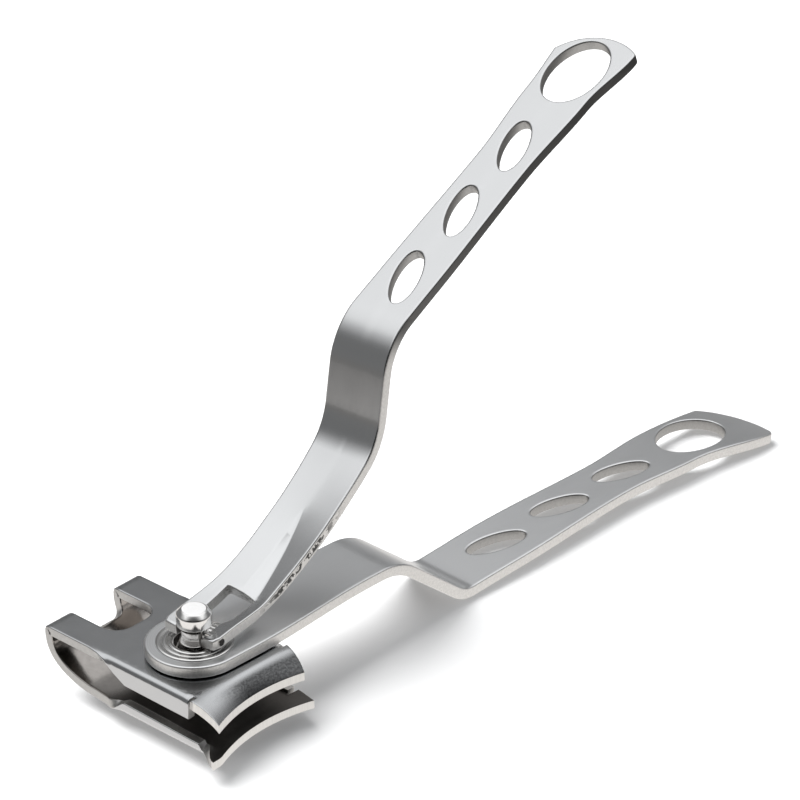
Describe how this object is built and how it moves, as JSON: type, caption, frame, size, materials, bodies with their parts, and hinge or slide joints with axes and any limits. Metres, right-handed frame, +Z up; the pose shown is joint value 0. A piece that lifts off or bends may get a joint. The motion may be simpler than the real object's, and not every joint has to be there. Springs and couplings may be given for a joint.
{
  "type": "nail clipper",
  "caption": "Long nail clipper with a folded spring-steel cutting head that swivels under a stamped lower handle and is closed by a forked top lever on a post.",
  "frame": {"origin": "on the swivel axis, at the middle of the post's foot, in the plane that the clipper rests on", "axes": "+Z up the swivel axis towards the post's cap, +X along the lower handle away from the head; the cutting edges face -Y"},
  "size_m": [0.1136, 0.0322, 0.0633],
  "materials": {
    "satin_steel": "fine-brushed stainless sheet with a soft sheen along the handle",
    "polished_steel": "tumbled and polished spring steel with honed bevels",
    "bright_steel": "bright turned and polished"
  },
  "bodies": {
    "handle": {"lower_handle": "satin_steel"},
    "head": {"swivel_eyelet": "satin_steel", "upper_jaw": "polished_steel", "rear_bow": "polished_steel"},
    "lower_jaw": {"lower_jaw": "polished_steel"},
    "post": {"swivel_post": "bright_steel"},
    "lever": {"top_lever": "satin_steel", "cross_pin": "bright_steel"}
  },
  "joints": [
    {"name": "head_swivel", "type": "hinge", "parent": "handle", "child": "head", "pos_m": [0, 0, 0.0094], "axis": [0, 0, 1], "continuous": true},
    {"name": "jaw_bend", "type": "hinge", "parent": "head", "child": "lower_jaw", "pos_m": [-0.00069, 0.01318, 0.0056], "axis": [-0.9986, -0.0523, 0], "range_deg": [0, 6.6]},
    {"name": "post_slide", "type": "slide", "parent": "handle", "child": "post", "axis": [0, 0, 1], "range_m": [0, 0.0015]},
    {"name": "lever_close", "type": "hinge", "parent": "post", "child": "lever", "pos_m": [0, 0, 0.0126], "axis": [-0.1149, 0.9934, 0], "range_deg": [0, 20], "stiffness_Nm_per_rad": 0.8}
  ],
  "couplings": [
    {"joint": "lever_close", "follows": "post_slide", "rad_per_m": 232.71},
    {"joint": "jaw_bend", "follows": "post_slide", "rad_per_m": 76.79}
  ]
}
